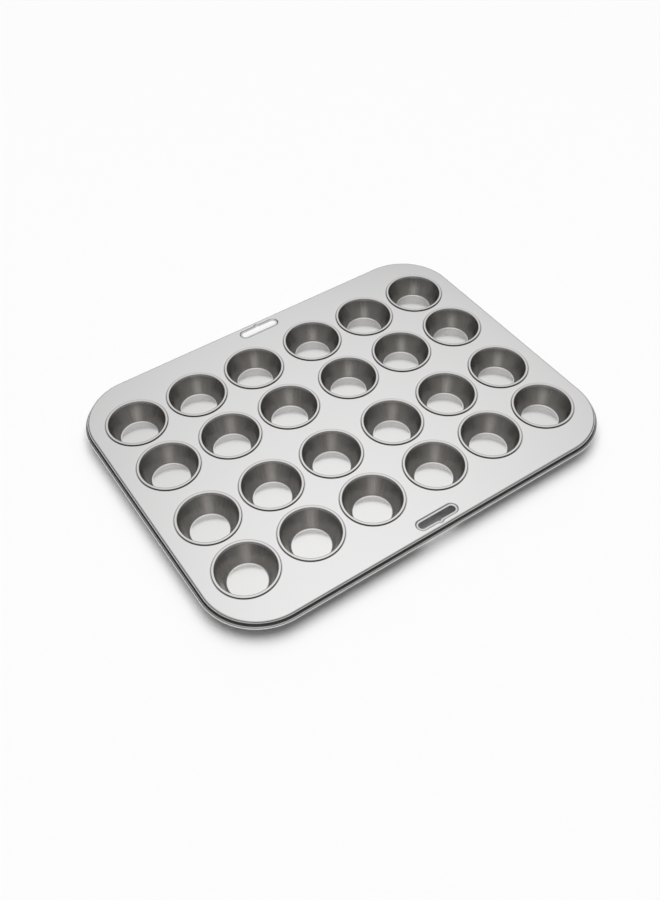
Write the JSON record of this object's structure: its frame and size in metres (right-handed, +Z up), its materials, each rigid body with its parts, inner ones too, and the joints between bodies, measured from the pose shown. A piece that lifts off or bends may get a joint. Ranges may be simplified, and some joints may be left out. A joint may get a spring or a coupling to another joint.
{
  "type": "mini muffin tin",
  "caption": "Flat rectangular baking tin with rounded corners, small tapered cups seamed into a grid of holes, a hanging slot at each long side and a wired rolled edge.",
  "frame": {"origin": "under the middle of the tin, on the plane its cup bottoms stand on", "axes": "+X along the tin's long side, +Y from the front row of cups to the back row, +Z up out of the cups"},
  "size_m": [0.3778, 0.2898, 0.0181],
  "materials": {
    "frame": "pale satin rolled sheet",
    "cups": "drawn sheet, satin, with fine draw lines up the walls",
    "wire": "drawn wire"
  },
  "bodies": {
    "root": {"frame_sheet": "frame", "rim_wire": "wire", "cup_row1_col1": "cups", "cup_row1_col2": "cups", "cup_row1_col3": "cups", "cup_row1_col4": "cups", "cup_row1_col5": "cups", "cup_row1_col6": "cups", "cup_row2_col1": "cups", "cup_row2_col2": "cups", "cup_row2_col3": "cups", "cup_row2_col4": "cups", "cup_row2_col5": "cups", "cup_row2_col6": "cups", "cup_row3_col1": "cups", "cup_row3_col2": "cups", "cup_row3_col3": "cups", "cup_row3_col4": "cups", "cup_row3_col5": "cups", "cup_row3_col6": "cups", "cup_row4_col1": "cups", "cup_row4_col2": "cups", "cup_row4_col3": "cups", "cup_row4_col4": "cups", "cup_row4_col5": "cups", "cup_row4_col6": "cups"}
  },
  "joints": []
}
